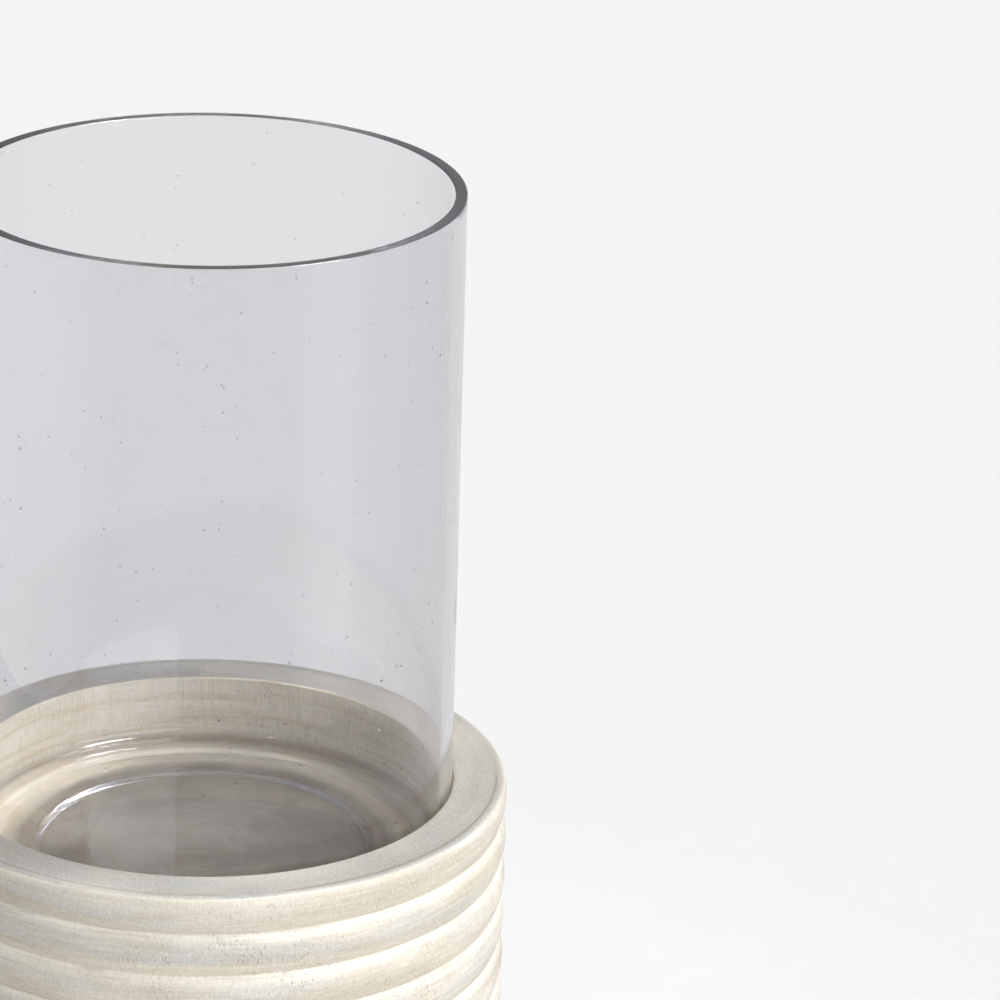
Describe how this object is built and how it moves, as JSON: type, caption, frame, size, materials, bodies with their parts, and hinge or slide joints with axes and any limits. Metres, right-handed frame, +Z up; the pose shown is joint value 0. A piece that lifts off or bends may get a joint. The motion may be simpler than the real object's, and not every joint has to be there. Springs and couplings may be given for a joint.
{
  "type": "hurricane candle lantern",
  "caption": "Hurricane candle lantern: clear glass cylinder with a closed bottom, standing in the well of a turned, beaded, whitewashed wooden base.",
  "frame": {"origin": "on the table, under the middle of the base", "axes": "+Z up along the axis of the base and the glass; the lantern is round, so +X and +Y are free choices"},
  "size_m": [0.171, 0.171, 0.284],
  "materials": {
    "whitewashed_wood": "brushed limewash over turned wood, matte",
    "clear_glass": "clear, polished",
    "felt": "pressed felt"
  },
  "bodies": {
    "base": {"base": "whitewashed_wood", "felt_foot_1": "felt", "felt_foot_2": "felt", "felt_foot_3": "felt", "felt_foot_4": "felt"},
    "glass": {"glass_cylinder": "clear_glass"}
  },
  "joints": [
    {"name": "glass_lift", "type": "slide", "parent": "base", "child": "glass", "axis": [0, 0, 1], "range_m": [0, 0.06]}
  ]
}
